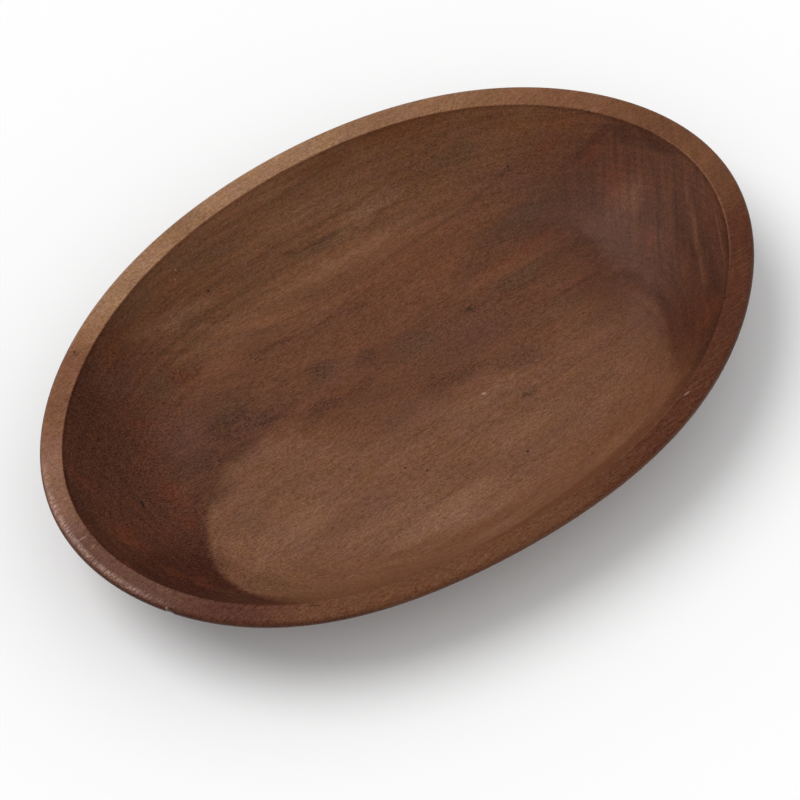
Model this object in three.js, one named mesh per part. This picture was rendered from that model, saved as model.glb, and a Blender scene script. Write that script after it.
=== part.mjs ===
// An oval platter, carved whole from one block of close-grained tropical hardwood.
//
// It has a flat oval base, a hull-shaped outside, a rim with a nearly flat top and one deep
// hollow. The hollow's ends slope more gently than its sides, and both run out into a faintly
// dished floor. The outline and the rim's width keep the slow swings that hand tools leave.
//
// Millimetres. X runs along the platter, Y across it, and Z up from the surface that it rests
// on. The origin is under the middle of the oval.
import * as THREE from 'three';

// Overall size. The length and width are those of the even oval that the outline swings about.
const length = 400;
const width = 267;
const height = 50;

// Rim. Its top falls a little outwards, its outer arris is rounded over and its inner arris
// is left almost sharp.
const rimWidthSides = 11.1;
const rimWidthEnds = 12.8;
const rimFall = 0.6;
const outerArrisRadius = 3;
const innerArrisEase = 0.6;

// Hollow. The runs are taken level, from the inner arris to the edge of the floor.
const floorThickness = 12;
const floorDish = 1;
const sideWallRun = 41.5;
const endWallRun = 62;

// Outside. The base's edge lies this far inboard of the floor's edge above it.
const footInset = 6;

// Where each wall turns from its steep upper part to its level lower part, as a share of the
// wall's run: from the inner arris for the hollow, and from the base's edge for the outside.
const hollowTurn = 0.59;
const hullTurn = 0.47;

// Swings left by hand, each with its lobes round the oval, how far it swings and the bearing
// of one of its crests in degrees from +X.
const outlineSwings = [
  { lobes: 3, swing: 0.5, bearing: -27 },
  { lobes: 4, swing: 0.7, bearing: 43 },
  { lobes: 5, swing: 0.5, bearing: 4 },
  { lobes: 6, swing: 0.4, bearing: -9 },
];
const rimSwings = [
  { lobes: 1, swing: 1.9, bearing: 36 },
  { lobes: 3, swing: 0.3, bearing: -2 },
];

// Fineness of the facets: ribs round the oval, and steps along each stretch of a rib
const ribCount = 96;
const hullSteps = 8;
const arrisSteps = 5;
const hollowSteps = 11;
const floorSteps = 3;

const hardwoodColour = 0x6b4a3a;
const hardwoodRoughness = 0.55;

const floorHalfLength = length / 2 - rimWidthEnds - endWallRun;
const floorHalfWidth = width / 2 - rimWidthSides - sideWallRun;
const up = new THREE.Vector3(0, 0, 1);

// The sum of a set of swings at an angle round the oval.
function swingAt(swings, angle) {
  return swings.reduce((sum, { lobes, swing, bearing }) => {
    return sum + swing * Math.cos(lobes * (angle - THREE.MathUtils.degToRad(bearing)));
  }, 0);
}

function ovalPoint(halfLength, halfWidth, angle, z) {
  return new THREE.Vector3(halfLength * Math.cos(angle), halfWidth * Math.sin(angle), z);
}

// The level direction that points straight out of the platter's oval.
function outwardAt(angle) {
  return new THREE.Vector3(width * Math.cos(angle), length * Math.sin(angle), 0).normalize();
}

function freeOutlineAt(angle) {
  const outline = ovalPoint(length / 2, width / 2, angle, 0);
  return outline.addScaledVector(outwardAt(angle), swingAt(outlineSwings, angle));
}

// The swings push the outline off centre, so it is moved back over the origin.
const ribAngles = Array.from({ length: ribCount }, (_, rib) => (2 * Math.PI * rib) / ribCount);
const outlineBox = new THREE.Box3().setFromPoints(ribAngles.map(freeOutlineAt));
const outlineCentre = outlineBox.getCenter(new THREE.Vector3());

function outlineAt(angle) {
  return freeOutlineAt(angle).sub(outlineCentre);
}

function rimWidthAt(angle) {
  const even = THREE.MathUtils.lerp(rimWidthSides, rimWidthEnds, Math.cos(angle) ** 2);
  return even + swingAt(rimSwings, angle);
}

// The outside wall at an angle, from the base's edge up to the rounded arris and over it. The
// wall is a curve that leaves the base level and meets the arris at a tangent.
function hullStretch(angle, rimTilt) {
  const outward = outwardAt(angle);
  const outline = outlineAt(angle);
  const baseEdge = ovalPoint(floorHalfLength - footInset, floorHalfWidth - footInset, angle, 0);
  const turn = baseEdge.clone().lerp(outline, hullTurn);

  const arrisCentre = outline.clone().addScaledVector(outward, -outerArrisRadius);
  arrisCentre.z = height - rimFall - outerArrisRadius;
  const toTurn = turn.clone().sub(arrisCentre);
  const reach = Math.hypot(toTurn.dot(outward), toTurn.z);
  const fromLevel = Math.atan2(toTurn.z, toTurn.dot(outward));
  const arrisStart = fromLevel + Math.acos(outerArrisRadius / reach);
  const arrisEnd = Math.PI / 2 - rimTilt;

  const arris = Array.from({ length: arrisSteps + 1 }, (_, step) => {
    const turned = THREE.MathUtils.lerp(arrisStart, arrisEnd, step / arrisSteps);
    return arrisCentre
      .clone()
      .addScaledVector(outward, outerArrisRadius * Math.cos(turned))
      .addScaledVector(up, outerArrisRadius * Math.sin(turned));
  });
  const wall = new THREE.QuadraticBezierCurve3(baseEdge, turn, arris[0]).getPoints(hullSteps);
  return [...wall.slice(0, -1), ...arris];
}

// The hollow at an angle, from the top of its wall down to the floor and in to the last ring
// round the floor's middle.
function hollowStretch(wallTop, angle) {
  const floorEdge = ovalPoint(floorHalfLength, floorHalfWidth, angle, floorThickness + floorDish);
  const turn = wallTop.clone().lerp(floorEdge, hollowTurn);
  turn.z = floorEdge.z;
  const wall = new THREE.QuadraticBezierCurve3(wallTop, turn, floorEdge).getPoints(hollowSteps);
  const floor = Array.from({ length: floorSteps - 1 }, (_, step) => {
    const out = 1 - (step + 1) / floorSteps;
    const z = floorThickness + floorDish * out ** 2;
    return ovalPoint(floorHalfLength * out, floorHalfWidth * out, angle, z);
  });
  return [...wall, ...floor];
}

// One rib: the whole section at an angle, up the outside, over the rim and down the hollow.
function ribAt(angle) {
  const outward = outwardAt(angle);
  const rimWidth = rimWidthAt(angle);
  const rimTilt = Math.atan(rimFall / (rimWidth - outerArrisRadius - innerArrisEase));
  const rimTop = outlineAt(angle).addScaledVector(outward, innerArrisEase - rimWidth);
  rimTop.z = height;
  const wallTop = outlineAt(angle).addScaledVector(outward, -rimWidth);
  wallTop.z = height - innerArrisEase;
  return [...hullStretch(angle, rimTilt), rimTop, ...hollowStretch(wallTop, angle)];
}

// A closed skin over the ribs, with the base and the floor closed round their middles.
function loftRibs(ribs, baseMiddle, floorMiddle) {
  const perRib = ribs[0].length;
  const corner = (rib, step) => (rib % ribs.length) * perRib + step;
  const baseCorner = ribs.length * perRib;
  const floorCorner = baseCorner + 1;
  const faces = [];
  for (let rib = 0; rib < ribs.length; rib += 1) {
    faces.push(baseCorner, corner(rib + 1, 0), corner(rib, 0));
    for (let step = 0; step < perRib - 1; step += 1) {
      const here = corner(rib, step);
      const beside = corner(rib + 1, step);
      faces.push(here, beside, beside + 1);
      faces.push(here, beside + 1, here + 1);
    }
    faces.push(corner(rib, perRib - 1), corner(rib + 1, perRib - 1), floorCorner);
  }
  const geometry = new THREE.BufferGeometry();
  geometry.setFromPoints([...ribs.flat(), baseMiddle, floorMiddle]);
  geometry.setIndex(faces);
  geometry.computeVertexNormals();
  return geometry;
}

const oiledHardwood = new THREE.MeshStandardMaterial({
  color: hardwoodColour,
  roughness: hardwoodRoughness,
  metalness: 0,
});

const baseMiddle = new THREE.Vector3(0, 0, 0);
const floorMiddle = new THREE.Vector3(0, 0, floorThickness);
const body = new THREE.Mesh(
  loftRibs(ribAngles.map(ribAt), baseMiddle, floorMiddle),
  oiledHardwood,
);
body.name = 'platter_body';

const platter = new THREE.Group();
platter.add(body);

export default platter;
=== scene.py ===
import math

import bpy
import numpy as np
from mathutils import Euler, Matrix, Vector, noise


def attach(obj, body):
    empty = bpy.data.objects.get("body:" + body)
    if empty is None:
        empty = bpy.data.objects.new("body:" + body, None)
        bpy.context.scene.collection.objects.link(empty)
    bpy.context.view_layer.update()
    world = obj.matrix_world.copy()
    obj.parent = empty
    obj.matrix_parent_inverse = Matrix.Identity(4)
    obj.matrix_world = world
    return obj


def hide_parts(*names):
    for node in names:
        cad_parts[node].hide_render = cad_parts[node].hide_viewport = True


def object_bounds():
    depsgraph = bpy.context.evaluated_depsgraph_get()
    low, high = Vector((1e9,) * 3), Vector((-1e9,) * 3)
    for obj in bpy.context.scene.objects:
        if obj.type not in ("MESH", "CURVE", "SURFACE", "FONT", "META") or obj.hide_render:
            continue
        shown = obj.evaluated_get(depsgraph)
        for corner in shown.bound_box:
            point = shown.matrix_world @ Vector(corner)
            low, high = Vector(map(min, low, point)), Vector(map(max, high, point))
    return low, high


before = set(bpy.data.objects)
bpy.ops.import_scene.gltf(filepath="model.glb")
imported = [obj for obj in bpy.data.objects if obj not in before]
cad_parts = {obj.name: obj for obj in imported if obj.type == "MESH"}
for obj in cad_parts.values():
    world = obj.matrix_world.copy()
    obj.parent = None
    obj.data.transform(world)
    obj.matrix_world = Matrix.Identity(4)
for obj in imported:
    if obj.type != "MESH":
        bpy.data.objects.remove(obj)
frame_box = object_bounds()

MM = 0.001

# The platter's sizes in millimetres. The length and width are those of the even oval that the
# outline swings about, and the runs of the walls are taken level, from the inner arris to the
# edge of the floor.
LENGTH = 400.0
WIDTH = 267.0
HEIGHT = 50.0
RIM_WIDTH_SIDES = 11.1
RIM_WIDTH_ENDS = 12.8
RIM_FALL = 0.6
OUTER_ARRIS_RADIUS = 3.0
INNER_ARRIS_EASE = 0.6
FLOOR_THICKNESS = 12.0
FLOOR_DISH = 1.0
SIDE_WALL_RUN = 41.5
END_WALL_RUN = 62.0
FOOT_INSET = 6.0
HOLLOW_TURN = 0.59
HULL_TURN = 0.47

# What the hand tools left: lobes round the oval, swing in millimetres, bearing of a crest.
OUTLINE_SWINGS = ((3, 0.5, -27), (4, 0.7, 43), (5, 0.5, 4), (6, 0.4, -9))
RIM_SWINGS = ((1, 1.9, 36), (3, 0.3, -2))

FLOOR_HALF_LENGTH = LENGTH / 2 - RIM_WIDTH_ENDS - END_WALL_RUN
FLOOR_HALF_WIDTH = WIDTH / 2 - RIM_WIDTH_SIDES - SIDE_WALL_RUN

# How finely the skin is cut: ribs round the oval, and steps along each stretch of a rib.
RIBS = 768
FOOT_STEPS = 22
HULL_STEPS = 34
ARRIS_STEPS = 12
RIM_STEPS = 7
EASE_STEPS = 4
WALL_STEPS = 46
FLOOR_STEPS = 48

# Which rings of points are the top and foot of the outer arris and the edge of the inner one.
ARRIS_FOOT = FOOT_STEPS - 1 + HULL_STEPS
ARRIS_TOP = ARRIS_FOOT + ARRIS_STEPS
INNER_EDGE = ARRIS_TOP + RIM_STEPS

# A small dent in the outer arris, with more ribs round it.
DENT_ANGLE = -156.3
DENT_RADIUS = 2.4
DENT_DEPTH = 0.9
DENT_TOP = 45.6
DENT_RIBS = 40
DENT_RIB_SPREAD = 1.6

# The hollow was finished with a scraper, which leaves faint waves.
SCRAPE_DEPTH = 0.16
SCRAPE_LENGTHS = (34.0, 17.0)
SCRAPE_START = 2.0
SCRAPE_FADE = 10.0

# Stands for far from both arrises, at the middle of the base and of the floor.
FAR_OFF = 99


def swing_at(swings, angle):
    """The sum of a set of hand-left swings at the angles."""
    total = np.zeros_like(angle)
    for lobes, swing, bearing in swings:
        total += swing * np.cos(lobes * (angle - math.radians(bearing)))
    return total


def oval(half_length, half_width, angle, height):
    """Points on a level oval, one for each angle."""
    level = np.full_like(angle, height)
    return np.stack([half_length * np.cos(angle), half_width * np.sin(angle), level], -1)


def outward_at(angle):
    """The level direction straight out of the platter's oval."""
    out = np.stack([WIDTH * np.cos(angle), LENGTH * np.sin(angle), np.zeros_like(angle)], -1)
    return out / np.linalg.norm(out, axis=-1, keepdims=True)


def outline_at(angle):
    """The platter's outline on the ground, with its swings, before it is centred."""
    even = oval(LENGTH / 2, WIDTH / 2, angle, 0)
    return even + outward_at(angle) * swing_at(OUTLINE_SWINGS, angle)[:, None]


def bezier(start, turn, end, steps):
    """Rings of points along a curve that leaves start and reaches end towards turn."""
    share = np.linspace(0, 1, steps + 1)[:, None, None]
    return (1 - share) ** 2 * start + 2 * (1 - share) * share * turn + share**2 * end


def arc(centre, outward, radius, first, last, steps):
    """Rings of points round a small arris, turned from level by the angles first to last."""
    share = np.linspace(0, 1, steps + 1)[:, None]
    turned = first + (last - first) * share
    up = np.array([0.0, 0.0, 1.0])
    return centre + radius * (
        np.cos(turned)[..., None] * outward + np.sin(turned)[..., None] * up
    )


def platter_rings(angle):
    """Every ring of the skin, from the middle of the base over the rim to the floor's middle."""
    outward = outward_at(angle)
    drawn = outline_at(angle)
    outline = drawn - (drawn.min(0) + drawn.max(0)) / 2
    even_rim = RIM_WIDTH_SIDES + (RIM_WIDTH_ENDS - RIM_WIDTH_SIDES) * np.cos(angle) ** 2
    rim_width = (even_rim + swing_at(RIM_SWINGS, angle))[:, None]

    foot = oval(FLOOR_HALF_LENGTH - FOOT_INSET, FLOOR_HALF_WIDTH - FOOT_INSET, angle, 0)
    shares = (np.arange(1, FOOT_STEPS) / FOOT_STEPS)[:, None, None]
    base = foot * shares

    hull_turn = foot + (outline - foot) * HULL_TURN
    arris_centre = outline - outward * OUTER_ARRIS_RADIUS
    arris_centre[:, 2] = HEIGHT - RIM_FALL - OUTER_ARRIS_RADIUS
    to_turn = hull_turn - arris_centre
    inboard = (to_turn * outward).sum(-1)
    reach = np.hypot(inboard, to_turn[:, 2])
    arris_first = np.arctan2(to_turn[:, 2], inboard) + np.arccos(OUTER_ARRIS_RADIUS / reach)
    flat_width = rim_width[:, 0] - OUTER_ARRIS_RADIUS - INNER_ARRIS_EASE
    arris_last = math.pi / 2 - np.arctan(RIM_FALL / flat_width)
    arris = arc(arris_centre, outward, OUTER_ARRIS_RADIUS, arris_first, arris_last, ARRIS_STEPS)
    hull = bezier(foot, hull_turn, arris[0], HULL_STEPS)

    rim_inner = outline - outward * (rim_width - INNER_ARRIS_EASE)
    rim_inner[:, 2] = HEIGHT
    shares = np.linspace(0, 1, RIM_STEPS + 1)[1:, None, None]
    rim_top = arris[-1] + (rim_inner - arris[-1]) * shares

    wall_top = outline - outward * rim_width
    wall_top[:, 2] = HEIGHT - INNER_ARRIS_EASE
    floor_edge = oval(FLOOR_HALF_LENGTH, FLOOR_HALF_WIDTH, angle, FLOOR_THICKNESS + FLOOR_DISH)
    wall_turn = wall_top + (floor_edge - wall_top) * HOLLOW_TURN
    wall_turn[:, 2] = FLOOR_THICKNESS + FLOOR_DISH
    ease_turn = outline - outward * rim_width
    ease_turn[:, 2] = HEIGHT
    ease = bezier(rim_inner, ease_turn, wall_top, EASE_STEPS)
    wall = bezier(wall_top, wall_turn, floor_edge, WALL_STEPS)

    shares = 1 - np.arange(1, FLOOR_STEPS) / FLOOR_STEPS
    floor = floor_edge * shares[:, None, None]
    floor[..., 2] = FLOOR_THICKNESS + FLOOR_DISH * shares[:, None] ** 2
    return np.concatenate(
        [base, hull[:-1], arris, rim_top, ease[1:], wall[1:], floor]
    )


def scraped(points, reach):
    """The points, moved up or down by the scraper's waves by a share of their full depth."""
    long, short = SCRAPE_LENGTHS
    moved = points.copy()
    flat = moved.reshape(-1, 3)
    for point, share in zip(flat, np.broadcast_to(reach, moved.shape[:-1]).ravel()):
        if share > 0:
            wave = noise.noise(Vector((point[0] / long, point[1] / short, 0.5)))
            point[2] += SCRAPE_DEPTH * share * wave
    return moved


def dented(rings, angle):
    """The rings, with a small dent pushed into them."""
    place = math.radians(DENT_ANGLE)
    nearest = np.abs(angle - place).argmin()
    outward = outward_at(angle)[nearest]
    widest = rings[ARRIS_FOOT : ARRIS_TOP, nearest]
    centre = widest[(widest @ outward).argmax()].copy()
    centre[2] = DENT_TOP
    apart = np.linalg.norm(rings - centre, axis=-1) / DENT_RADIUS
    push = DENT_DEPTH * np.clip(1 - apart**2, 0, 1) ** 1.5
    return rings - push[..., None] * outward


def closed_skin(name, rings, low_middle, high_middle):
    """A closed mesh over rings of points, with a fan round a middle point at both ends."""
    ring_count, per_ring, _ = rings.shape
    points = np.concatenate([rings.reshape(-1, 3), [low_middle, high_middle]]) * MM
    low = ring_count * per_ring
    here = np.arange(per_ring)
    beside = (here + 1) % per_ring
    faces = []
    for ring in range(ring_count - 1):
        start = ring * per_ring
        quads = np.stack(
            [start + here, start + beside, start + per_ring + beside, start + per_ring + here], -1
        )
        faces += quads.tolist()
    last = (ring_count - 1) * per_ring
    faces += np.stack([np.full(per_ring, low), beside, here], -1).tolist()
    faces += np.stack([last + here, last + beside, np.full(per_ring, low + 1)], -1).tolist()
    mesh = bpy.data.meshes.new(name)
    mesh.from_pydata(points.tolist(), [], faces)
    mesh.shade_smooth()
    piece = bpy.data.objects.new(name, mesh)
    bpy.context.scene.collection.objects.link(piece)
    return piece


EASED = {"interpolation_type": "SMOOTHSTEP"}
WHITE = "#ffffff"


def linear(hex_colour):
    """An sRGB hex colour as the linear RGBA that the shaders take."""
    shares = [int(hex_colour[place : place + 2], 16) / 255 for place in (1, 3, 5)]
    return [s / 12.92 if s <= 0.04045 else ((s + 0.055) / 1.055) ** 2.4 for s in shares] + [1.0]


def new_material(name):
    """An empty node material and its tree."""
    material = bpy.data.materials.new(name)
    material.use_nodes = True
    material.node_tree.nodes.clear()
    return material, material.node_tree


def add(tree, kind, inputs, output=0, **settings):
    """Adds a node with its settings and returns one of its outputs. The inputs are a list, taken
    in order, or go by name or place. One given as a socket is linked, the others are set."""
    made = tree.nodes.new("ShaderNode" + kind)
    for name, value in settings.items():
        setattr(made, name, value)
    named = inputs if isinstance(inputs, dict) else dict(enumerate(inputs))
    for place, value in named.items():
        if isinstance(value, bpy.types.NodeSocket):
            tree.links.new(value, made.inputs[place])
        elif value is not None:
            made.inputs[place].default_value = value
    return None if output is None else made.outputs[output]


def grain_noise(tree, place_mm, lengths, detail=2.0, roughness=0.5, seed=0.0, output=0):
    """Noise, 0 to 1, whose features are about as long as the lengths in mm along X, Y and Z."""
    scale = [1 / length for length in lengths]
    stretched = add(tree, "Mapping", {"Vector": place_mm, "Location": [seed] * 3, "Scale": scale})
    return add(
        tree, "TexNoise",
        {"Vector": stretched, "Scale": 1.0, "Detail": detail, "Roughness": roughness},
        output,
    )


def strayed_by(tree, place_mm, lengths, reach, detail):
    """Places pushed about along the grain and across it, so that what is drawn on them frays."""
    push = grain_noise(tree, place_mm, lengths, detail, 0.6, output="Color")
    push = add(tree, "VectorMath", [push, (0.5, 0.5, 0.5)], operation="SUBTRACT")
    return add(tree, "VectorMath", [push, (*reach, 0), place_mm], operation="MULTIPLY_ADD")


def all_spots(tree, place_mm, spots, fade):
    """How strongly a set of oval spots shows, 0 to 1. Each spot is x, y, half its length, half
    its width, its tilt in degrees and its strength, and fades out over a share of its radius."""
    strongest = None
    for x, y, half_length, half_width, tilt, strength in spots:
        local = add(
            tree, "Mapping",
            {
                "Vector": place_mm,
                "Location": (x, y, HEIGHT / 2),
                "Rotation": (0, 0, math.radians(tilt)),
                "Scale": (half_length, half_width, WIDTH),
            },
            vector_type="TEXTURE",
        )
        inward = add(tree, "TexGradient", [local], 1, gradient_type="SPHERICAL")
        shown = add(tree, "MapRange", [inward, 0.0, fade, 0.0, strength], **EASED)
        if strongest is None:
            strongest = shown
        else:
            strongest = add(tree, "Math", [strongest, shown], operation="MAXIMUM")
    return strongest


def laid_over(tree, colour, layers):
    """The colour with layers over it, each a tint, how strongly it shows and a share of that."""
    for tint, amount, most in layers:
        amount = add(tree, "Math", [amount, most], operation="MULTIPLY")
        colour = add(tree, "Mix", {0: amount, 6: colour, 7: linear(tint)}, 2, data_type="RGBA")
    return colour


# The wood's own colours. The outer, younger layers at both ends are dark, and the pale core
# comes to the surface in the near half of the hollow.
HEARTWOOD = "#643a24"
FAR_WALL_WOOD = "#72482f"
FAR_EDGE_WOOD = "#7f5238"
LEFT_END_WOOD = "#4f2815"
LEFT_FOOT_WOOD = "#3e1605"
RIGHT_END_WOOD = "#56301e"
RIGHT_FOOT_WOOD = "#4b2513"
PALE_CORE = "#724933"

# What lies over the wood's own colours, the tones of the painted highlight and sheen on its
# arrises, and those of its small marks.
NEAR_RIM_WOOD = "#5a3018"
GLEAM = "#8c624a"
UMBER = "#4c2b19"
ORANGE_BROWN = "#693815"
MAUVE = "#5f3b2f"
OLIVE = "#5b412b"
RUST = "#692f18"
DARK_BAND = "#381504"
DARK_STREAK = "#3b1a0c"
PALE_STREAK = "#7d5038"
GROWTH_LINE = "#3f2010"
RIM_FIBRE = "#8f6448"
RIM_PEBBLE = "#774a2d"
# A painted highlight along the inner arris, and a painted sheen on the outer arris.
INNER_ARRIS_HIGHLIGHT = "#a5775a"
ARRIS_SHEEN = "#ba998d"
DARK_SPECK = "#33160e"
PALE_FLECK = "#85604a"
PIN_HOLE = "#1d0d07"
CHIPPED_WOOD = "#a98a78"

# The patterns' sizes in millimetres along the grain, across it and upwards. Real fibres and
# pores are a few tenths of a millimetre wide and are drawn about twice as coarse, so that they
# hold in a picture.
SLOW_BEND_SIZE = (90, 40, 40)
STRIP_SIZE = (30, 2.0, 2.0)
MOTTLE_SIZE = (14, 8, 8)
HUE_PATCH_SIZE = (14, 9, 9)
FIBRE_SIZE = (3.2, 0.8, 0.8)
PORE_SIZE = (1.0, 0.8, 0.8)
SPECK_SIZE = (1.3, 1.0, 1.0)
FLECK_SIZE = (1.9, 1.1, 1.1)
RIM_FIBRE_SIZE = (14, 1.3, 1.3)
RIM_PEBBLE_SIZE = (1.7, 2.2, 2.0)
SHEEN_STROKE_SIZE = (6, 0.7, 0.9)
PORE_DEPTH = 0.1

# The growth layers: their length and thickness, how far they waver, how much of a millimetre
# they climb for each one across, and how they bend from one place along X to another.
LAYER_LENGTH = 90
LAYER_THICKNESS = 2.4
LAYER_WAVER = 5.0
LAYER_CLIMB = 0.25
LAYER_BEND = (-95, 10, 0, 7)

# What is drawn on the wood frays: how long and wide the pushes are, and how far they reach.
FRAY_SIZE = (16, 8, 10)
FRAY_REACH = (24, 13)
NUDGE_SIZE = (14, 6, 8)
NUDGE_REACH = (5, 2.5)

# The hue's drift, as lowest shares of red, green and blue and what is added at most, and how far
# the fine grain moves each of the three.
HUE_LOWEST = (0.975, 0.915, 0.565)
HUE_SWING = (0.0, 0.16, 0.8)
GRAIN_SWING = (3.2, 1.89, 1.32)

# Where each thing shows, in millimetres: from where it starts to where it is full, along X for
# ends and walls, along Y for sides, and past the arris for the rim and its edges. Where there
# are four values, the last two are what shows at the two places.
FAR_WALL = (55, 82)
FAR_WALL_START = (-118, -70)
FAR_EDGE = (90, 112)
FAR_EDGE_MIDDLE = (80, 25)
LEFT_END = (-92, -146)
LEFT_FOOT = (-92, -128)
LEFT_FOOT_SIDE = (5, -35)
LEFT_WALL = (-132, -158)
RIGHT_END = (90, 128)
RIGHT_END_SIDE = (60, 36)
RIGHT_FOOT_SIDE = (-10, -60)
RIGHT_WALL = (122, 158)
LINED_SIDE = (-10, 50, 0.5, 1.0)
NEAR_RIM_ARRIS = (-34, -3)
NEAR_RIM_SIDE = (-55, -85)
NEAR_RIM_LEFT = (-15, -90, 0, 0.9)
RIM_START = (-0.3, 0.3)
RIM_STOP = (1.8, 3.6, 1, 0)
RIM_FIBRE_SIDE = (-40, -90)
RIM_PEBBLE_SIDE = (-30, 60)

# The pale core lies round a line between two points, out to where it fades. A straight cut ends
# it at the right, a corner reaches up at the left, and its rings run round an eye.
CORE_LEFT = (-76, -51.5)
CORE_RIGHT = (61, -40)
CORE_RADII = (65.5, 71)
CORE_CORNER = ((-106, 0, 22, 12, 38, 0.45),)
CORE_CUT = (0.84, -0.54, 0)
CORE_CUT_REACH = (131, 137.5)
CORE_EYE = (-20, -74, 0)
CORE_EYE_STRETCH = 1.7
CORE_RING_WIDTH = 5.0

# Its upper edge, how soft that edge is and how it fades, each as two places along X and the
# value at each.
CORE_TOP = (-82, -22, 17, -20)
CORE_TOP_RIGHT = (10, 80, 0, -7)
CORE_SOFTNESS = (-95, -45, 3, 15)
CORE_FADE = (20, 120, 1, 0.45)

# The rim's colours, and where they lie round it, in degrees from the right-hand end.
RIM_TAN = "#976f53"
RIM_FAWN = "#8c6346"
RIM_BROWN = "#794d34"
RIM_CHESTNUT = "#6f4429"
RIM_RUSSET = "#643b23"
RIM_DARK = "#512611"
RIM_DUSTY = "#845b48"
RIM_PLUM = "#623d30"
RIM_UMBER = "#53281a"
RIM_TONES = (
    (-180, RIM_PLUM), (-160, RIM_PLUM), (-150, RIM_UMBER), (-141, RIM_UMBER), (-132, RIM_RUSSET),
    (-93, RIM_RUSSET), (-74, RIM_DARK), (-22, RIM_DARK), (-12, RIM_RUSSET), (-1, RIM_CHESTNUT),
    (8, RIM_RUSSET), (20, RIM_CHESTNUT), (26, RIM_BROWN), (35, RIM_BROWN), (60, RIM_FAWN),
    (68, RIM_FAWN), (78, RIM_TAN), (98, RIM_TAN), (104, RIM_FAWN), (112, RIM_TAN), (123, RIM_TAN),
    (128, RIM_FAWN), (134, RIM_BROWN), (149, RIM_BROWN), (157, RIM_DUSTY), (167, RIM_DUSTY),
    (180, RIM_PLUM),
)

# Clouds, bands and lines in the wood, with painted sheen among the mauve veils, each with its place
# in millimetres, half its length and width, its tilt in degrees and its strength.
UMBER_CLOUDS = (
    (-112, 27, 24, 24, -10, 1.0), (-88, 32, 26, 20, 15, 1.0), (-70, 24, 20, 9, -15, 1.0),
    (-92, 17, 22, 8, 0, 1.0), (-112, 4, 10, 9, 30, 0.7), (-29, 31, 14, 9, 0, 0.5),
    (-40, 12, 14, 7, 0, 0.5), (-18, 11, 15, 6, 0, 0.5), (-4, 22, 12, 7, 0, 0.5),
    (16, 16, 26, 12, 0, 0.5), (20, -14, 28, 9, -8, 0.8), (52, -24, 22, 8, -20, 0.35),
    (104, 41, 38, 12, -3, 0.9), (78, 34, 26, 9, 0, 0.5), (96, 12, 42, 8, 0, 0.75),
    (126, 6, 10, 30, 0, 0.7), (54, 15, 8, 6, 0, 0.3), (104, -11, 26, 7, 0, 0.5),
    (20, 0, 60, 14, -10, 0.25), (-95, 46, 14, 10, 0, 0.5),
)
# The mauve veils are partly the wood's own tone; the two on the right-hand end wall, at x 140 and
# 142, are painted sheen.
MAUVE_VEILS_AND_SHEEN = (
    (-106, 44, 22, 24, 0, 1.0), (-120, 76, 26, 12, -8, 0.7), (140, 6, 18, 32, -10, 0.9),
    (40, 2, 50, 18, -8, 0.7), (-13, -17, 16, 13, 30, 0.9), (118, 60, 22, 9, -30, 0.9),
    (104, 72, 16, 7, -20, 0.7), (50, 84, 16, 8, 0, 0.7), (-75, 26, 16, 10, 0, 0.6),
    (142, -38, 14, 32, -10, 0.4), (-60, -52, 30, 16, 0, 0.35), (-22, 24, 30, 10, 0, 0.5),
    (60, -26, 20, 12, 0, 0.6), (155, -58, 10, 26, -30, 0.4), (96, -4, 22, 6, 0, 0.4),
)
OLIVE_VEILS = (
    (14, 91, 34, 5, -6, 0.9), (-22, 95, 26, 7, -6, 0.6), (100, 85, 24, 6, -18, 1.0),
    (-66, 90, 26, 6, -4, 0.5), (-38, 110, 40, 9, -2, 0.8), (-92, 103, 26, 7, 20, 0.6),
    (-129, -58, 14, 15, 30, 0.6), (-110, -18, 15, 8, 0, 0.6), (46, -44, 9, 5, 0, 0.6),
    (106, 42, 30, 10, -4, 0.7), (126, 50, 26, 6, -34, 0.4), (92, -14, 24, 8, 0, 0.7),
    (84, 14, 28, 7, 0, 0.7), (-100, 68, 18, 9, 0, 0.8), (-80, 42, 14, 9, 30, 0.6),
    (20, 14, 22, 10, 0, 0.7), (-152, -62, 8, 14, 20, 0.6), (26, 114, 44, 5, 0, 0.6),
    (-28, 30, 12, 7, 0, 0.5),
)
RUST_GLOWS = (
    (-170, -4, 7, 17, 16, 0.85), (-171, 36, 5, 18, 30, 0.7), (-133, 18, 6, 9, 0, 0.8),
    (-129, 9, 6, 6, 0, 0.6), (-136, -2, 5, 9, 0, 0.8), (-124, 57, 12, 3.5, -30, 0.9),
    (-88, 68, 10, 8, -30, 0.8), (-95, 21, 8, 4, 0, 0.5), (157, 20, 15, 20, -30, 0.6),
    (148, -14, 6, 14, -34, 0.8), (100, 26, 30, 5, 0, 0.6), (156, 40, 12, 6, -10, 0.8),
    (144, 58, 12, 5, -20, 0.7), (-184, -26, 3.5, 14, 14, 0.9), (-158, -44, 7, 12, 20, 0.8),
    (-166, -30, 5, 12, 20, 0.7), (134, -78, 16, 7, 40, 0.7), (108, -6, 24, 2.5, 0, 0.5),
    (-62, 12, 24, 4, 0, 0.3), (-30, 14, 30, 8, 0, 0.3), (130, -28, 5, 12, 0, 0.5),
    (-151, -2, 3, 12, 10, 0.4),
)
ORANGE_EDGES = (
    (82, 106, 46, 6, -19, 0.9), (126, 82, 22, 8, -40, 0.6), (40, 114, 30, 4, -6, 0.8),
    (-72, 97, 40, 5, 8, 0.4), (-118, 86, 26, 5, 30, 0.5), (150, 62, 16, 6, -45, 0.6),
    (-30, -96, 40, 6, 0, 0.3), (55, -98, 40, 12, 10, 0.3),
)
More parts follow.
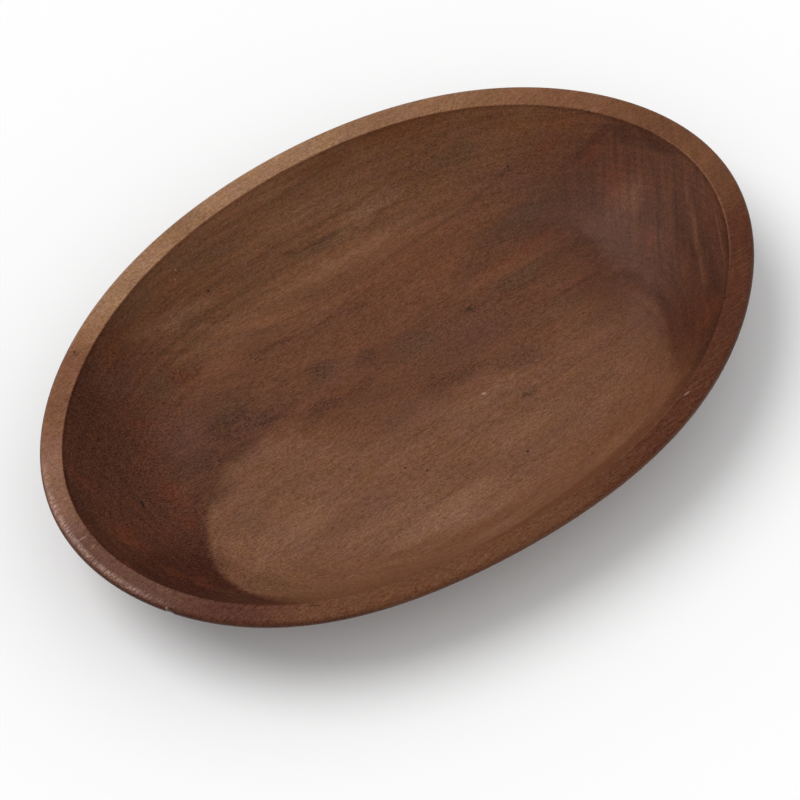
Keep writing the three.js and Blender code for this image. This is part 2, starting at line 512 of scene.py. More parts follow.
DARK_BANDS = (
    (159, 44, 18, 4, -10, 0.7), (179, 20, 4, 18, 10, 0.9), (172, 34, 5, 14, 24, 0.7),
    (128, 14, 4, 16, 0, 0.4), (132, -22, 5, 12, 10, 0.6), (134, -44, 8, 16, 0, 0.3),
    (126, -72, 22, 4, 62, 0.5), (113, -99, 24, 6, 24, 1.0), (136, -88, 22, 6, 33, 1.0),
    (95, -106, 30, 7, 19, 0.7), (-150, -70, 38, 13, -38, 1.0), (-142, -34, 12, 14, 0, 0.4),
    (160, -30, 22, 9, 58, 0.45), (128, -90, 26, 10, 33, 0.5), (-178, -36, 8, 28, 14, 0.8),
    (-183, 12, 6, 40, -4, 0.9), (-150, 22, 3, 34, 0, 0.5), (-146, 70, 26, 8, 40, 0.3),
    (-148, -40, 5, 24, 0, 0.5), (-163, -22, 10, 20, 0, 0.4), (-124, 6, 12, 4, 40, 0.5),
)
WALL_STREAKS_DARK = (
    (168.5, -52, 21, 2.2, 58, 0.9), (180, 15, 12, 2.5, -70, 0.7), (162, -6, 29, 2.0, 51, 0.6),
    (172.5, -22, 24, 1.5, 59, 0.6), (164, -18, 26, 1.6, 55, 0.5), (160, -40, 24, 1.8, 59, 0.6),
    (152, -60, 24, 3.5, 56, 0.7), (143, -68, 20, 2.5, 54, 0.4), (171, -12, 26, 5, 58, 0.3),
    (170, -40, 18, 3, 58, 0.4),
)
WALL_STREAKS_PALE = (
    (166, -29, 27, 2.6, 59, 0.5), (167.5, -46.5, 27, 0.9, 58, 0.6), (168, -28, 15, 0.8, 56, 0.4),
    (175, -12, 11, 1.2, 58, 0.5), (158, -9, 24, 1.2, 52, 0.35), (152, -52, 22, 2.4, 57, 0.4),
    (166, 2, 20, 1.8, 62, 0.3), (160, -66, 24, 2.4, 50, 0.4), (-148, 15, 1.3, 26, 0, 0.25),
    (150, -76, 14, 1.5, 45, 0.4), (123, 45, 4.5, 0.9, 28, 0.5), (144, 13, 4, 0.8, 22, 0.5),
)
PALE_GLEAMS = (
    (-32, -76, 48, 11, -4, 1.0), (-52, -62, 46, 16, 0, 0.45), (-16, -86, 34, 10, 0, 0.5),
    (-92, -38, 30, 16, 20, 0.5), (35, -60, 46, 11, -3, 0.35), (-22, -106, 26, 8, 0, 0.4),
    (50, -104, 26, 9, 6, 0.4), (-116, -42, 20, 18, 0, 0.4), (85, -60, 22, 14, 0, 0.1),
    (5, 105, 40, 5, 0, 0.5), (46, 91, 34, 5, 0, 0.9), (42, 101, 28, 5, -4, 0.5),
    (-5, 60, 40, 5, 0, 0.15), (60, -74, 40, 8, 0, 0.15), (30, -33, 30, 6, 0, 0.3),
    (155, 11, 14, 14, 0, 0.5), (-60, 74, 20, 4, -14, 0.3), (30, 78, 60, 4, -2, 0.3),
    (-74, 93, 34, 5, 4, 0.8), (-128, -26, 10, 14, 0, 0.3), (-50, 82, 30, 3, -12, 0.4),
)
GROWTH_LINES = (
    (-88, 82, 26, 1.8, -14, 0.5), (-58, 74, 36, 1.6, -15, 0.5), (-30, 67, 30, 1.4, -7, 0.5),
    (-40, 58, 26, 2.2, -9, 0.75), (4, 54.5, 34, 1.3, 1, 0.4), (-60, 46, 30, 1.6, -14, 0.3),
    (82, 65, 76, 1.8, 0, 0.6), (14, 62.5, 34, 1.3, -3, 0.4), (22, 92, 30, 1.7, -6, 0.7),
    (1, 95, 6, 1.6, -12, 0.8), (108, -8, 24, 2.2, -3, 1.0), (92, 17, 28, 1.3, 0, 0.7),
    (92, 9, 30, 1.3, -3, 0.4), (102, 21, 20, 1.2, 2, 0.3), (111, -47.5, 18, 1.4, -3, 0.6),
    (74, 73, 50, 1.4, -3, 0.3), (18, 28, 40, 1.2, 0, 0.2), (75, 32, 30, 1.2, 0, 0.35),
    (-5, -29, 26, 1.2, 2, 0.5), (0, 114, 50, 1.5, -1, 0.3), (90, 94, 30, 1.5, 0, 0.3),
    (-20, -60, 30, 1.1, 2, 0.3), (-22, -68, 24, 1.1, 0, 0.3),
)
SPECKLES = (
    (-84, 31, 20, 16, 10, 1.0), (-104, 19, 13, 7, 0, 1.0), (-72, 24, 15, 8, -15, 1.0),
    (-60, 24, 16, 8, 0, 0.6), (-30, 31, 12, 8, 0, 0.9), (-40, 12, 13, 6, 0, 0.9),
    (-18, 11, 14, 5, 0, 0.9), (-5, 22, 11, 6, 0, 0.9), (16, 14, 30, 14, 0, 0.5),
    (24, -13, 28, 9, -10, 0.7), (45, -44, 8, 5, 0, 0.8), (56, 13, 10, 7, 0, 0.7),
    (48, 4, 60, 22, -10, 0.45), (-50, 58, 12, 5, 0, 0.9), (-88, 69, 14, 10, 0, 0.7),
    (60, -28, 20, 12, 0, 0.5), (80, 88, 60, 12, -6, 0.3), (-40, -74, 20, 12, 0, 0.3),
    (-100, 50, 30, 24, 0, 0.5), (104, 40, 40, 14, 0, 0.3), (-92, 76, 12, 4, -12, 0.6),
)

# Streaks run along the walls at both ends: their tilts in degrees and their size in millimetres.
RIGHT_STREAK_TILT = 56.0
LEFT_STREAK_TILT = 105.0
END_STREAK_SIZE = (30.0, 2.6, WIDTH)

# Where the painted sheen lies on the outer arris, in millimetres: outwards from its top, along X
# and along Y.
SHEEN_MIDDLE = 0.6
SHEEN_REACH = 2.4
SHEEN_END = (-178, -193)
SHEEN_SIDE = (-66, -26)

# Where the painted highlight lies on the inner arris: the strip's middle and its fade in
# millimetres, and its bearing and spread in radians.
INNER_HIGHLIGHT_MIDDLE = 0.2
INNER_HIGHLIGHT_BAND = (0.1, 0.6, 1, 0)
INNER_HIGHLIGHT_BEARING = -0.2
INNER_HIGHLIGHT_SPREAD = (0.15, 0.45, 0.22, 0)

# Small marks of use and of the wood: pin holes and dark flecks, and pale chips and rubs.
DARK_MARKS = (
    (-31.3, -41.8, 0.9, 0.8, 0, 1.0), (-23.6, -49.8, 0.9, 0.9, 0, 1.0),
    (22.7, -72, 1.0, 0.8, 0, 1.0), (54, 15, 1.0, 1.0, 0, 1.0), (53.8, 14.6, 4, 1.6, 15, 0.5),
    (55, 12.6, 0.8, 2.6, 0, 0.4), (-149.6, 17, 0.9, 3.4, -18, 1.0), (11.5, 4.5, 0.9, 0.8, 0, 0.7),
    (120.6, 65.6, 0.8, 0.8, 0, 0.9), (-49.3, 97.6, 0.9, 0.8, 0, 0.8),
    (-61.8, -52.5, 0.8, 0.6, 0, 0.6), (-104, -76.4, 1.0, 0.7, 20, 0.6),
    (-81.8, 88, 0.8, 0.5, 0, 0.7), (68.4, 47.6, 0.9, 0.7, 0, 0.6), (-107, 45, 0.9, 0.7, 0, 0.8),
    (-106.5, 22.8, 0.9, 0.8, 0, 0.8), (-30.3, 31.6, 0.9, 0.8, 0, 0.9),
    (33.6, -47.6, 0.8, 0.7, 0, 0.6), (-133.3, 94.3, 1.0, 1.2, 0, 0.7),
    (-134, 92.6, 3.5, 0.6, -12, 0.5), (-118.6, 106, 1.2, 0.7, 30, 0.5),
    (-12, 53.8, 0.8, 0.5, 0, 0.8), (-129, -95.6, 5, 0.7, -33, 0.5),
    (-58.8, -72, 0.8, 0.5, 0, 0.5), (115, -38, 1.0, 0.7, 0, 0.4), (67.3, 4, 0.8, 0.7, 0, 0.6),
    (102, -2, 0.8, 0.8, 0, 0.5), (164, 53.5, 0.8, 0.8, 0, 0.7), (-12.4, 11.6, 0.7, 0.6, 0, 0.8),
    (49.6, 34.3, 0.7, 0.6, 0, 0.6), (-183.2, -54.6, 1.0, 0.7, -55, 0.8),
    (-195, 25.5, 4.5, 0.4, 0, 0.5),
)
PALE_MARKS = (
    (27.5, -31, 1.8, 1.1, -20, 0.7), (-94.6, -80, 4, 1.2, -6, 0.2),
    (-60.8, 108.8, 0.8, 0.5, 0, 0.7), (-63.4, 106, 0.6, 0.5, 0, 0.6),
    (-75, 94.5, 0.7, 0.5, 0, 0.5), (-194, 3.0, 4.0, 0.5, -2, 0.6),
    (-192.5, -4, 2.4, 0.5, 12, 0.4), (90, -112, 3, 0.6, 4, 0.5),
    (-184.4, -52.6, 0.9, 0.6, -55, 0.6),
)


def growth_layers(tree, place_mm):
    """The figure of the growth layers, 0 to 1. They lie almost level, climb towards the far side
    and dip towards the left."""
    x, y, z = add(tree, "SeparateXYZ", [place_mm]).node.outputs
    slow = grain_noise(tree, place_mm, SLOW_BEND_SIZE)
    bend = add(tree, "MapRange", [x, *LAYER_BEND], **EASED)
    climb = add(tree, "Math", [y, LAYER_CLIMB, z], operation="MULTIPLY_ADD")
    climb = add(tree, "Math", [climb, bend], operation="ADD")
    layer = add(tree, "Math", [slow, LAYER_WAVER, climb], operation="MULTIPLY_ADD")
    along = add(tree, "Math", [x, 1 / LAYER_LENGTH], operation="MULTIPLY")
    across = add(tree, "Math", [layer, 1 / LAYER_THICKNESS], operation="MULTIPLY")
    figure_place = add(tree, "CombineXYZ", [along, across])
    return add(
        tree, "TexNoise", {"Vector": figure_place, "Scale": 1.0, "Detail": 4.0, "Roughness": 0.6}
    )


def pale_core(tree, place_mm, nudged, fray):
    """How much of the pale core shows, 0 to 1. It ends in a soft, ragged edge at its top and in
    crisp arcs at its two ends."""
    x, y, _ = add(tree, "SeparateXYZ", [place_mm]).node.outputs
    fray_x, fray_y, _ = add(tree, "SeparateXYZ", [fray]).node.outputs
    left_x, left_y = CORE_LEFT
    right_x, right_y = CORE_RIGHT
    spine_x = add(tree, "Clamp", [x, left_x, right_x])
    spine_y = add(tree, "MapRange", [spine_x, left_x, right_x, left_y, right_y])
    off_x = add(tree, "Math", [x, spine_x], operation="SUBTRACT")
    off_y = add(tree, "Math", [y, spine_y], operation="SUBTRACT")
    off = add(tree, "CombineXYZ", [off_x, off_y])
    off = add(tree, "VectorMath", [off], 1, operation="LENGTH")
    edge = add(tree, "Math", [fray_x, 0.3, off], operation="MULTIPLY_ADD")
    within = add(tree, "MapRange", [edge, *CORE_RADII, 1, 0], **EASED)
    corner = all_spots(tree, nudged, CORE_CORNER, 0.6)
    within = add(tree, "Math", [within, corner], operation="MAXIMUM")
    cut = add(tree, "VectorMath", [nudged, CORE_CUT], 1, operation="DOT_PRODUCT")
    cut = add(tree, "MapRange", [cut, *CORE_CUT_REACH, 1, 0], **EASED)
    within = add(tree, "Math", [within, cut], operation="MULTIPLY")
    top = add(tree, "MapRange", [x, *CORE_TOP], **EASED)
    right_top = add(tree, "MapRange", [x, *CORE_TOP_RIGHT], **EASED)
    top = add(tree, "Math", [top, right_top], operation="ADD")
    over = add(tree, "Math", [y, top], operation="SUBTRACT")
    over = add(tree, "Math", [fray_y, 2.4, over], operation="MULTIPLY_ADD")
    softness = add(tree, "MapRange", [x, *CORE_SOFTNESS])
    lowest = add(tree, "Math", [softness, -1], operation="MULTIPLY")
    under = add(tree, "MapRange", [over, lowest, softness, 1, 0], **EASED)
    core = add(tree, "Math", [within, under], operation="MULTIPLY")
    core_fade = add(tree, "MapRange", [x, *CORE_FADE])
    return add(tree, "Math", [core, core_fade], operation="MULTIPLY")


def core_rings(tree, nudged, core):
    """The tone of the rings that the core shows round a bright eye, about 1."""
    eye = add(tree, "VectorMath", [nudged, CORE_EYE], operation="SUBTRACT")
    eye = add(tree, "VectorMath", [eye, (1 / CORE_EYE_STRETCH, 1, 0)], operation="MULTIPLY")
    eye = add(tree, "VectorMath", [eye], 1, operation="LENGTH")
    ring_place = add(tree, "Math", [eye, 1 / CORE_RING_WIDTH], operation="MULTIPLY")
    rings = add(
        tree, "TexNoise", {"W": ring_place, "Scale": 1.0, "Detail": 3.0, "Roughness": 0.7},
        noise_dimensions="1D",
    )
    rings = add(tree, "Math", [rings, 0.5], operation="SUBTRACT")
    rings = add(tree, "Math", [rings, core], operation="MULTIPLY")
    return add(tree, "Math", [rings, 0.2, 1.0], operation="MULTIPLY_ADD")


def rim_wood(tree, place_mm, bearing, fray_x):
    """The rim's colour. Its tones change on the way round, long fibres show on its near side and
    small pebbles of tone on its far side."""
    _, y, _ = add(tree, "SeparateXYZ", [place_mm]).node.outputs
    turn = add(tree, "Math", [bearing, 1 / (2 * math.pi), 0.5], operation="MULTIPLY_ADD")
    waver = add(tree, "Math", [fray_x, 0.001, turn], operation="MULTIPLY_ADD")
    ramp = add(tree, "ValToRGB", [waver]).node
    stops = ramp.color_ramp.elements
    while len(stops) < len(RIM_TONES):
        stops.new(0.5)
    for stop, (degrees, _) in zip(stops, RIM_TONES):
        stop.position = degrees / 360 + 0.5
    for stop, (_, tone) in zip(stops, RIM_TONES):
        stop.color = linear(tone)
    rim_streaks = grain_noise(tree, place_mm, RIM_FIBRE_SIZE, 3.0, 0.6, seed=7.0)
    rim_streaks = add(tree, "MapRange", [rim_streaks, 0.5, 0.72, 0, 0.2])
    rim_near = add(tree, "MapRange", [y, *RIM_FIBRE_SIDE], **EASED)
    rim_streaks = add(tree, "Math", [rim_streaks, rim_near], operation="MULTIPLY")
    pebbles = grain_noise(tree, place_mm, RIM_PEBBLE_SIZE, 1.0, 0.5, seed=17.0)
    pebbles = add(tree, "MapRange", [pebbles, 0.42, 0.62, 0, 0.25], **EASED)
    rim_far = add(tree, "MapRange", [y, *RIM_PEBBLE_SIDE], **EASED)
    pebbles = add(tree, "Math", [pebbles, rim_far], operation="MULTIPLY")
    return laid_over(
        tree, ramp.outputs[0], ((RIM_FIBRE, rim_streaks, 1.0), (RIM_PEBBLE, pebbles, 1.0))
    )


def painted_inner_arris_highlight(tree, bearing, past_inner):
    """How strongly a painted highlight shows along the inner arris, which it does at the right-hand
    end.
    """
    arris = add(tree, "Math", [past_inner, INNER_HIGHLIGHT_MIDDLE], operation="SUBTRACT")
    arris = add(tree, "Math", [arris], operation="ABSOLUTE")
    arris = add(tree, "MapRange", [arris, *INNER_HIGHLIGHT_BAND], **EASED)
    highlight_place = add(tree, "Math", [bearing, INNER_HIGHLIGHT_BEARING], operation="SUBTRACT")
    highlight_place = add(tree, "Math", [highlight_place], operation="ABSOLUTE")
    highlight_place = add(tree, "MapRange", [highlight_place, *INNER_HIGHLIGHT_SPREAD], **EASED)
    return add(tree, "Math", [arris, highlight_place], operation="MULTIPLY")


def painted_outer_arris_sheen(tree, place_mm, past_outer):
    """How strongly a painted sheen shows on the outer arris, which it does at the left-hand end, in
    strokes along the grain."""
    x, y, _ = add(tree, "SeparateXYZ", [place_mm]).node.outputs
    strokes = grain_noise(tree, place_mm, SHEEN_STROKE_SIZE, 2.0, 0.6, seed=61.0)
    strokes = add(tree, "MapRange", [strokes, 0.38, 0.64], **EASED)
    band = add(tree, "Math", [past_outer, SHEEN_MIDDLE], operation="SUBTRACT")
    band = add(tree, "Math", [band], operation="ABSOLUTE")
    band = add(tree, "MapRange", [band, 0.2, SHEEN_REACH, 1, 0], **EASED)
    left = add(tree, "MapRange", [x, *SHEEN_END], **EASED)
    not_near = add(tree, "MapRange", [y, *SHEEN_SIDE], **EASED)
    left = add(tree, "Math", [left, not_near], operation="MULTIPLY")
    sheen = add(tree, "Math", [strokes, band], operation="MULTIPLY")
    return add(tree, "Math", [sheen, left], operation="MULTIPLY")


def end_streaks(tree, place_mm, tilt, shown):
    """Streaks, 0 to 1, that run along an end wall at a tilt, and are an even 0.5 elsewhere."""
    end_place = add(
        tree, "Mapping",
        {
            "Vector": place_mm,
            "Rotation": (0, 0, math.radians(tilt)),
            "Scale": END_STREAK_SIZE,
        },
        vector_type="TEXTURE",
    )
    strips = add(
        tree, "TexNoise", {"Vector": end_place, "Scale": 1.0, "Detail": 2.0, "Roughness": 0.5}
    )
    return add(tree, "Mix", {0: shown, 2: 0.5, 3: strips})


def oiled_hardwood():
    """Close-grained tropical hardwood, scraped and sanded smooth and rubbed with oil. It is
    satin and brown, with a pale core, dark ends where the end grain drank more oil, and a paler
    rim, with a painted highlight on the inner arris at the right-hand end and a painted sheen on
    the outer arris at the left-hand end."""
    material, tree = new_material("oiled_hardwood")
    place = add(tree, "TexCoord", {}, "Object")
    place_mm = add(tree, "VectorMath", {0: place, "Scale": 1 / MM}, operation="SCALE")
    x, y, _ = add(tree, "SeparateXYZ", [place_mm]).node.outputs
    rim_place = add(tree, "Attribute", {}, "Vector", attribute_name="over_rim")
    past_inner, past_outer, _ = add(tree, "SeparateXYZ", [rim_place]).node.outputs
    frayed = strayed_by(tree, place_mm, FRAY_SIZE, FRAY_REACH, 6.0)
    nudged = strayed_by(tree, place_mm, NUDGE_SIZE, NUDGE_REACH, 5.0)
    frayed_x, frayed_y, _ = add(tree, "SeparateXYZ", [frayed]).node.outputs
    fray = add(tree, "VectorMath", [frayed, place_mm], operation="SUBTRACT")
    fray_x, _, _ = add(tree, "SeparateXYZ", [fray]).node.outputs
    core = pale_core(tree, place_mm, nudged, fray)

    far_wall = add(tree, "MapRange", [frayed_y, *FAR_WALL], **EASED)
    far_side = add(tree, "MapRange", [frayed_x, *FAR_WALL_START], **EASED)
    far_wall = add(tree, "Math", [far_wall, far_side], operation="MULTIPLY")
    far_edge = add(tree, "MapRange", [frayed_y, *FAR_EDGE], **EASED)
    middle = add(tree, "Math", [x], operation="ABSOLUTE")
    middle = add(tree, "MapRange", [middle, *FAR_EDGE_MIDDLE], **EASED)
    far_edge = add(tree, "Math", [far_edge, middle], operation="MULTIPLY")
    left_end = add(tree, "MapRange", [frayed_x, *LEFT_END], **EASED)
    right_end = add(tree, "MapRange", [frayed_x, *RIGHT_END], **EASED)
    far_right = add(tree, "MapRange", [frayed_y, *RIGHT_END_SIDE], **EASED)
    right_end = add(tree, "Math", [right_end, far_right], operation="MULTIPLY")
    low_side = add(tree, "MapRange", [frayed_y, *LEFT_FOOT_SIDE], **EASED)
    left_foot = add(tree, "MapRange", [frayed_x, *LEFT_FOOT], **EASED)
    left_foot = add(tree, "Math", [left_foot, low_side], operation="MULTIPLY")
    lower_side = add(tree, "MapRange", [frayed_y, *RIGHT_FOOT_SIDE], **EASED)
    right_foot = add(tree, "Math", [right_end, lower_side], operation="MULTIPLY")

    # The near wall darkens towards the rim.
    near_arris = add(tree, "MapRange", [past_inner, *NEAR_RIM_ARRIS], **EASED)
    near_side = add(tree, "MapRange", [y, *NEAR_RIM_SIDE], **EASED)
    near_left = add(tree, "MapRange", [x, *NEAR_RIM_LEFT], **EASED)
    near_rim_dark = add(tree, "Math", [near_arris, near_side], operation="MULTIPLY")
    near_rim_dark = add(tree, "Math", [near_rim_dark, near_left], operation="MULTIPLY")

    colour = laid_over(
        tree, linear(HEARTWOOD),
        (
            (FAR_WALL_WOOD, far_wall, 1.0),
            (FAR_EDGE_WOOD, far_edge, 1.0),
            (LEFT_END_WOOD, left_end, 1.0),
            (LEFT_FOOT_WOOD, left_foot, 1.0),
            (RIGHT_END_WOOD, right_end, 1.0),
            (RIGHT_FOOT_WOOD, right_foot, 1.0),
            (PALE_CORE, core, 1.0),
            (NEAR_RIM_WOOD, near_rim_dark, 0.55),
            (GLEAM, all_spots(tree, frayed, PALE_GLEAMS, 0.8), 0.65),
            (UMBER, all_spots(tree, frayed, UMBER_CLOUDS, 0.8), 0.75),
            (ORANGE_BROWN, all_spots(tree, nudged, ORANGE_EDGES, 0.8), 0.6),
            # Mauve veils, partly painted sheen.
            (MAUVE, all_spots(tree, frayed, MAUVE_VEILS_AND_SHEEN, 0.8), 0.45),
            (OLIVE, all_spots(tree, frayed, OLIVE_VEILS, 0.8), 0.5),
            (RUST, all_spots(tree, frayed, RUST_GLOWS, 0.8), 0.45),
            (DARK_BAND, all_spots(tree, nudged, DARK_BANDS, 0.8), 0.6),
            (DARK_STREAK, all_spots(tree, place_mm, WALL_STREAKS_DARK, 0.9), 0.75),
            (PALE_STREAK, all_spots(tree, place_mm, WALL_STREAKS_PALE, 0.9), 0.6),
            (GROWTH_LINE, all_spots(tree, nudged, GROWTH_LINES, 0.8), 0.5),
        ),
    )

    # Over the hollow's colours lie the rim's, and the arrises' painted highlight and sheen over
    # both.
    bearing_y = add(tree, "Math", [y, LENGTH / WIDTH], operation="MULTIPLY")
    bearing = add(tree, "Math", [bearing_y, x], operation="ARCTAN2")
    rim_colour = rim_wood(tree, place_mm, bearing, fray_x)
    rim = add(tree, "MapRange", [past_inner, *RIM_START], **EASED)
    under_rim = add(tree, "MapRange", [past_outer, *RIM_STOP], **EASED)
    rim = add(tree, "Math", [rim, under_rim], operation="MULTIPLY")
    colour = add(tree, "Mix", {0: rim, 6: colour, 7: rim_colour}, 2, data_type="RGBA")
    colour = laid_over(
        tree, colour,
        (
            (INNER_ARRIS_HIGHLIGHT, painted_inner_arris_highlight(tree, bearing, past_inner), 1.0),
            (ARRIS_SHEEN, painted_outer_arris_sheen(tree, place_mm, past_outer), 0.6),
        ),
    )

    # The figure and the mottle make broad strips and patches a few parts in a hundred darker or
    # paler, and the hue drifts between olive and mauve.
    figure = growth_layers(tree, place_mm)
    lined = add(tree, "MapRange", [frayed_y, *LINED_SIDE], **EASED)
    lined = add(tree, "Math", [lined, right_end], operation="MAXIMUM")
    figure = add(tree, "Math", [figure, 0.5], operation="SUBTRACT")
    figure = add(tree, "Math", [figure, lined], operation="MULTIPLY")
    figure = add(tree, "Math", [figure, 0.5], operation="ADD")
    right_wall = add(tree, "MapRange", [x, *RIGHT_WALL], **EASED)
    right_wall = add(tree, "Math", [right_wall, right_end], operation="MULTIPLY")
    left_wall = add(tree, "MapRange", [x, *LEFT_WALL], **EASED)
    tone = core_rings(tree, nudged, core)
    for strength, dark, light in (
        (figure, 0.82, 1.18),
        (grain_noise(tree, place_mm, STRIP_SIZE, 3.0, 0.5, seed=5.0), 0.92, 1.08),
        (grain_noise(tree, place_mm, MOTTLE_SIZE, 4.0, 0.6, seed=53.0), 0.96, 1.04),
        (end_streaks(tree, place_mm, RIGHT_STREAK_TILT, right_wall), 0.80, 1.20),
        (end_streaks(tree, place_mm, LEFT_STREAK_TILT, left_wall), 0.82, 1.18),
    ):
        part = add(tree, "MapRange", [strength, 0.3, 0.7, dark, light])
        tone = add(tree, "Math", [tone, part], operation="MULTIPLY")
    evened = add(tree, "Math", [rim, 0.4], operation="MULTIPLY")
    tone = add(tree, "Mix", {0: evened, 2: tone, 3: 1.0})
    colour = add(tree, "VectorMath", {0: colour, "Scale": tone}, operation="SCALE")
    hue = grain_noise(tree, place_mm, HUE_PATCH_SIZE, 4.0, 0.75, output="Color")
    hue = add(tree, "VectorMath", [hue, HUE_SWING, HUE_LOWEST], operation="MULTIPLY_ADD")
    colour = add(tree, "VectorMath", [colour, hue], operation="MULTIPLY")

    # Fibres and pores are fine and almost free of hue: oil-filled ones dark, dry ones pale. They
    # show less on the wall of the right-hand end and more on that of the left-hand end.
    fibres = grain_noise(tree, place_mm, FIBRE_SIZE, 2.0, 0.6, seed=11.0)
    pores = grain_noise(tree, place_mm, PORE_SIZE, 1.0, 0.5, seed=37.0)
    grain = add(tree, "Mix", {0: 0.5, 2: fibres, 3: pores})
    grain = add(tree, "Math", [grain, 0.5], operation="SUBTRACT")
    on_wall = add(tree, "Math", [1.0, rim], operation="SUBTRACT")
    on_wall = add(tree, "Math", [on_wall, left_end], operation="MULTIPLY")
    contrast = add(tree, "Math", [right_end, -0.3, 1.0], operation="MULTIPLY_ADD")
    contrast = add(tree, "Math", [on_wall, 0.4, contrast], operation="MULTIPLY_ADD")
    grain = add(tree, "Math", [grain, contrast], operation="MULTIPLY")
    brightness = add(tree, "SeparateXYZ", [colour], 1)
    brightness = add(tree, "Math", [brightness, 0.03], operation="ADD")
    grain = add(tree, "Math", [grain, brightness], operation="MULTIPLY")
    colour = add(tree, "VectorMath", [grain, GRAIN_SWING, colour], operation="MULTIPLY_ADD")

    # Dark specks lie in the clouds, and pale flecks show most on the dark wood.
    speckle = grain_noise(tree, place_mm, SPECK_SIZE, 1.0, 0.5, seed=91.0)
    speckle = add(tree, "MapRange", [speckle, 0.5, 0.62], **EASED)
    speckled = all_spots(tree, frayed, SPECKLES, 0.7)
    speckle = add(tree, "Math", [speckle, speckled], operation="MULTIPLY")
    flecks = grain_noise(tree, place_mm, FLECK_SIZE, 2.0, 0.6, seed=71.0)
    flecks = add(tree, "MapRange", [flecks, 0.46, 0.8, 0, 0.12])
    colour = laid_over(
        tree, colour,
        (
            (DARK_SPECK, speckle, 0.75),
            (PALE_FLECK, flecks, 1.0),
            (PIN_HOLE, all_spots(tree, place_mm, DARK_MARKS, 0.7), 1.0),
            (CHIPPED_WOOD, all_spots(tree, place_mm, PALE_MARKS, 0.7), 1.0),
        ),
    )

    bump = add(tree, "Bump", {"Height": pores, "Distance": PORE_DEPTH * MM, "Strength": 0.4})
    rubbed = add(tree, "MapRange", [past_outer, -2.5, 0.0, 0.55, 0.45], **EASED)
    wood = add(
        tree, "BsdfPrincipled",
        {
            "Base Color": colour, "Roughness": rubbed, "IOR": 1.45, "Specular IOR Level": 0.2,
            "Normal": bump,
        },
    )
    add(tree, "OutputMaterial", {"Surface": wood}, None)
    return material


def place_platter():
    """The platter as one skin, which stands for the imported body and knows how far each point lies
    past the two arrises."""
    angle = np.linspace(-math.pi, math.pi, RIBS, endpoint=False)
    by_dent = DENT_ANGLE + np.linspace(-DENT_RIB_SPREAD, DENT_RIB_SPREAD, DENT_RIBS)
    angle = np.unique(np.concatenate([angle, np.radians(by_dent)]))
    rings = platter_rings(angle)
    steps = np.linalg.norm(np.diff(rings, axis=0), axis=-1)
    travel = np.concatenate([np.zeros((1, len(angle))), np.cumsum(steps, axis=0)])
    past_inner = travel[INNER_EDGE] - travel
    past_outer = travel[ARRIS_TOP] - travel
    floor_middle = np.array([[0.0, 0.0, FLOOR_THICKNESS]])
    reach = np.clip(-past_inner / SCRAPE_FADE - SCRAPE_START / SCRAPE_FADE, 0, 1)
    rings = scraped(dented(rings, angle), reach)
    floor_middle = scraped(floor_middle, np.ones(1))
    low, high = (np.array(corner) / MM for corner in frame_box)
    rings = np.clip(rings, low, high)
    platter = closed_skin("carved_platter", rings, (0, 0, 0), floor_middle[0])
    unused = np.zeros_like(past_inner)
    over_rim = np.stack([past_inner, past_outer, unused], -1).reshape(-1, 3)
    middles = [[FAR_OFF, FAR_OFF, 0], [-FAR_OFF, -FAR_OFF, 0]]
    over_rim = np.concatenate([over_rim, middles])
    layer = platter.data.attributes.new("over_rim", "FLOAT_VECTOR", "POINT")
    layer.data.foreach_set("vector", over_rim.ravel())
    platter.data.materials.append(oiled_hardwood())
    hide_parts("platter_body")
    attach(platter, "root")


# The camera looks down on the platter from far off, so that its lines hardly converge.
CAMERA_ELEVATION = 56.0
CAMERA_TURN = -38.044
CAMERA_DISTANCE = 2.0
CAMERA_AIM = (-0.0239, -0.0281, 0.050)
LENS_MM = 182.85
SENSOR_MM = 36.0


def place_camera():
    """The camera, at the photograph's viewing angle."""
    data = bpy.data.cameras.new("camera")
    data.lens = LENS_MM
    data.sensor_width = SENSOR_MM
    data.clip_start = 0.1
    data.clip_end = 20.0
    camera = bpy.data.objects.new("camera", data)
    turn = Euler((math.radians(90 - CAMERA_ELEVATION), 0, math.radians(CAMERA_TURN)))
    camera.rotation_euler = turn
    camera.location = Vector(CAMERA_AIM) + turn.to_matrix() @ Vector((0, 0, CAMERA_DISTANCE))
    bpy.context.scene.collection.objects.link(camera)
    bpy.context.scene.camera = camera


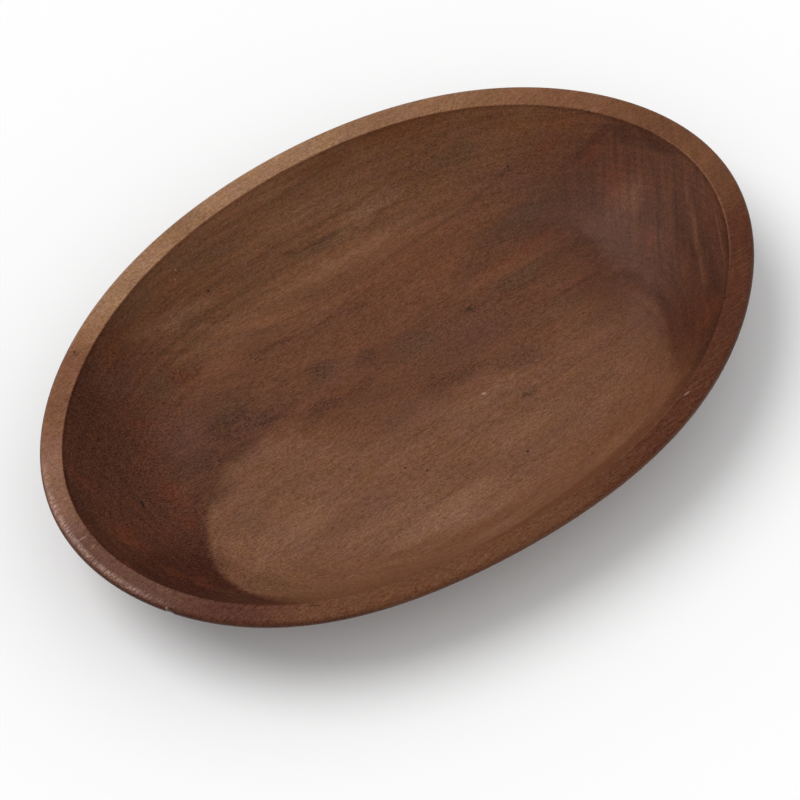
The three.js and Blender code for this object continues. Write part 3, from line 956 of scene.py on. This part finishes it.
# A soft, even room, and a wide, soft key light from the far left.
ROOM_LIGHT = 0.65
KEY_LIGHT = 0.35
KEY_SOFTNESS = 40.0
KEY_ELEVATION = 56.0
KEY_BEARING = 125.0


def light_room():
    """The room's even light and the key light."""
    world = bpy.data.worlds.new("studio")
    world.use_nodes = True
    tree = world.node_tree
    tree.nodes.clear()
    glow = add(tree, "Background", [linear(WHITE), ROOM_LIGHT])
    add(tree, "OutputWorld", [glow], None)
    bpy.context.scene.world = world

    key = bpy.data.lights.new("key", "SUN")
    key.angle = math.radians(KEY_SOFTNESS)
    key.energy = KEY_LIGHT * math.pi / math.sin(math.radians(KEY_ELEVATION))
    lamp = bpy.data.objects.new("key", key)
    bearing = math.radians(KEY_BEARING)
    level = math.cos(math.radians(KEY_ELEVATION))
    towards = Vector((level * math.cos(bearing), level * math.sin(bearing),
                      math.sin(math.radians(KEY_ELEVATION))))
    lamp.rotation_euler = towards.to_track_quat("Z", "Y").to_euler()
    bpy.context.scene.collection.objects.link(lamp)


FLOOR_SPREAD = 3.0
PAPER_SHADE = "#9a9a9a"


def place_floor():
    """A sheet of matt white paper. It looks white and throws back less light than it shows."""
    mesh = bpy.data.meshes.new("floor")
    corners = [(-1, -1), (1, -1), (1, 1), (-1, 1)]
    points = [(FLOOR_SPREAD * x, FLOOR_SPREAD * y, 0) for x, y in corners]
    mesh.from_pydata(points, [], [(0, 1, 2, 3)])
    floor = bpy.data.objects.new("floor", mesh)
    material, tree = new_material("white_paper")
    seen = add(tree, "LightPath", {}, "Is Camera Ray")
    mirrored = add(tree, "LightPath", {}, "Is Glossy Ray")
    seen = add(tree, "Math", [seen, mirrored], operation="MAXIMUM")
    shade = add(
        tree, "Mix", {0: seen, 6: linear(PAPER_SHADE), 7: linear(WHITE)}, 2, data_type="RGBA",
    )
    paper = add(tree, "BsdfDiffuse", [shade])
    add(tree, "OutputMaterial", [paper], None)
    mesh.materials.append(material)
    bpy.context.scene.collection.objects.link(floor)


place_platter()
place_floor()
place_camera()
light_room()
bpy.context.scene.view_settings.view_transform = "Standard"
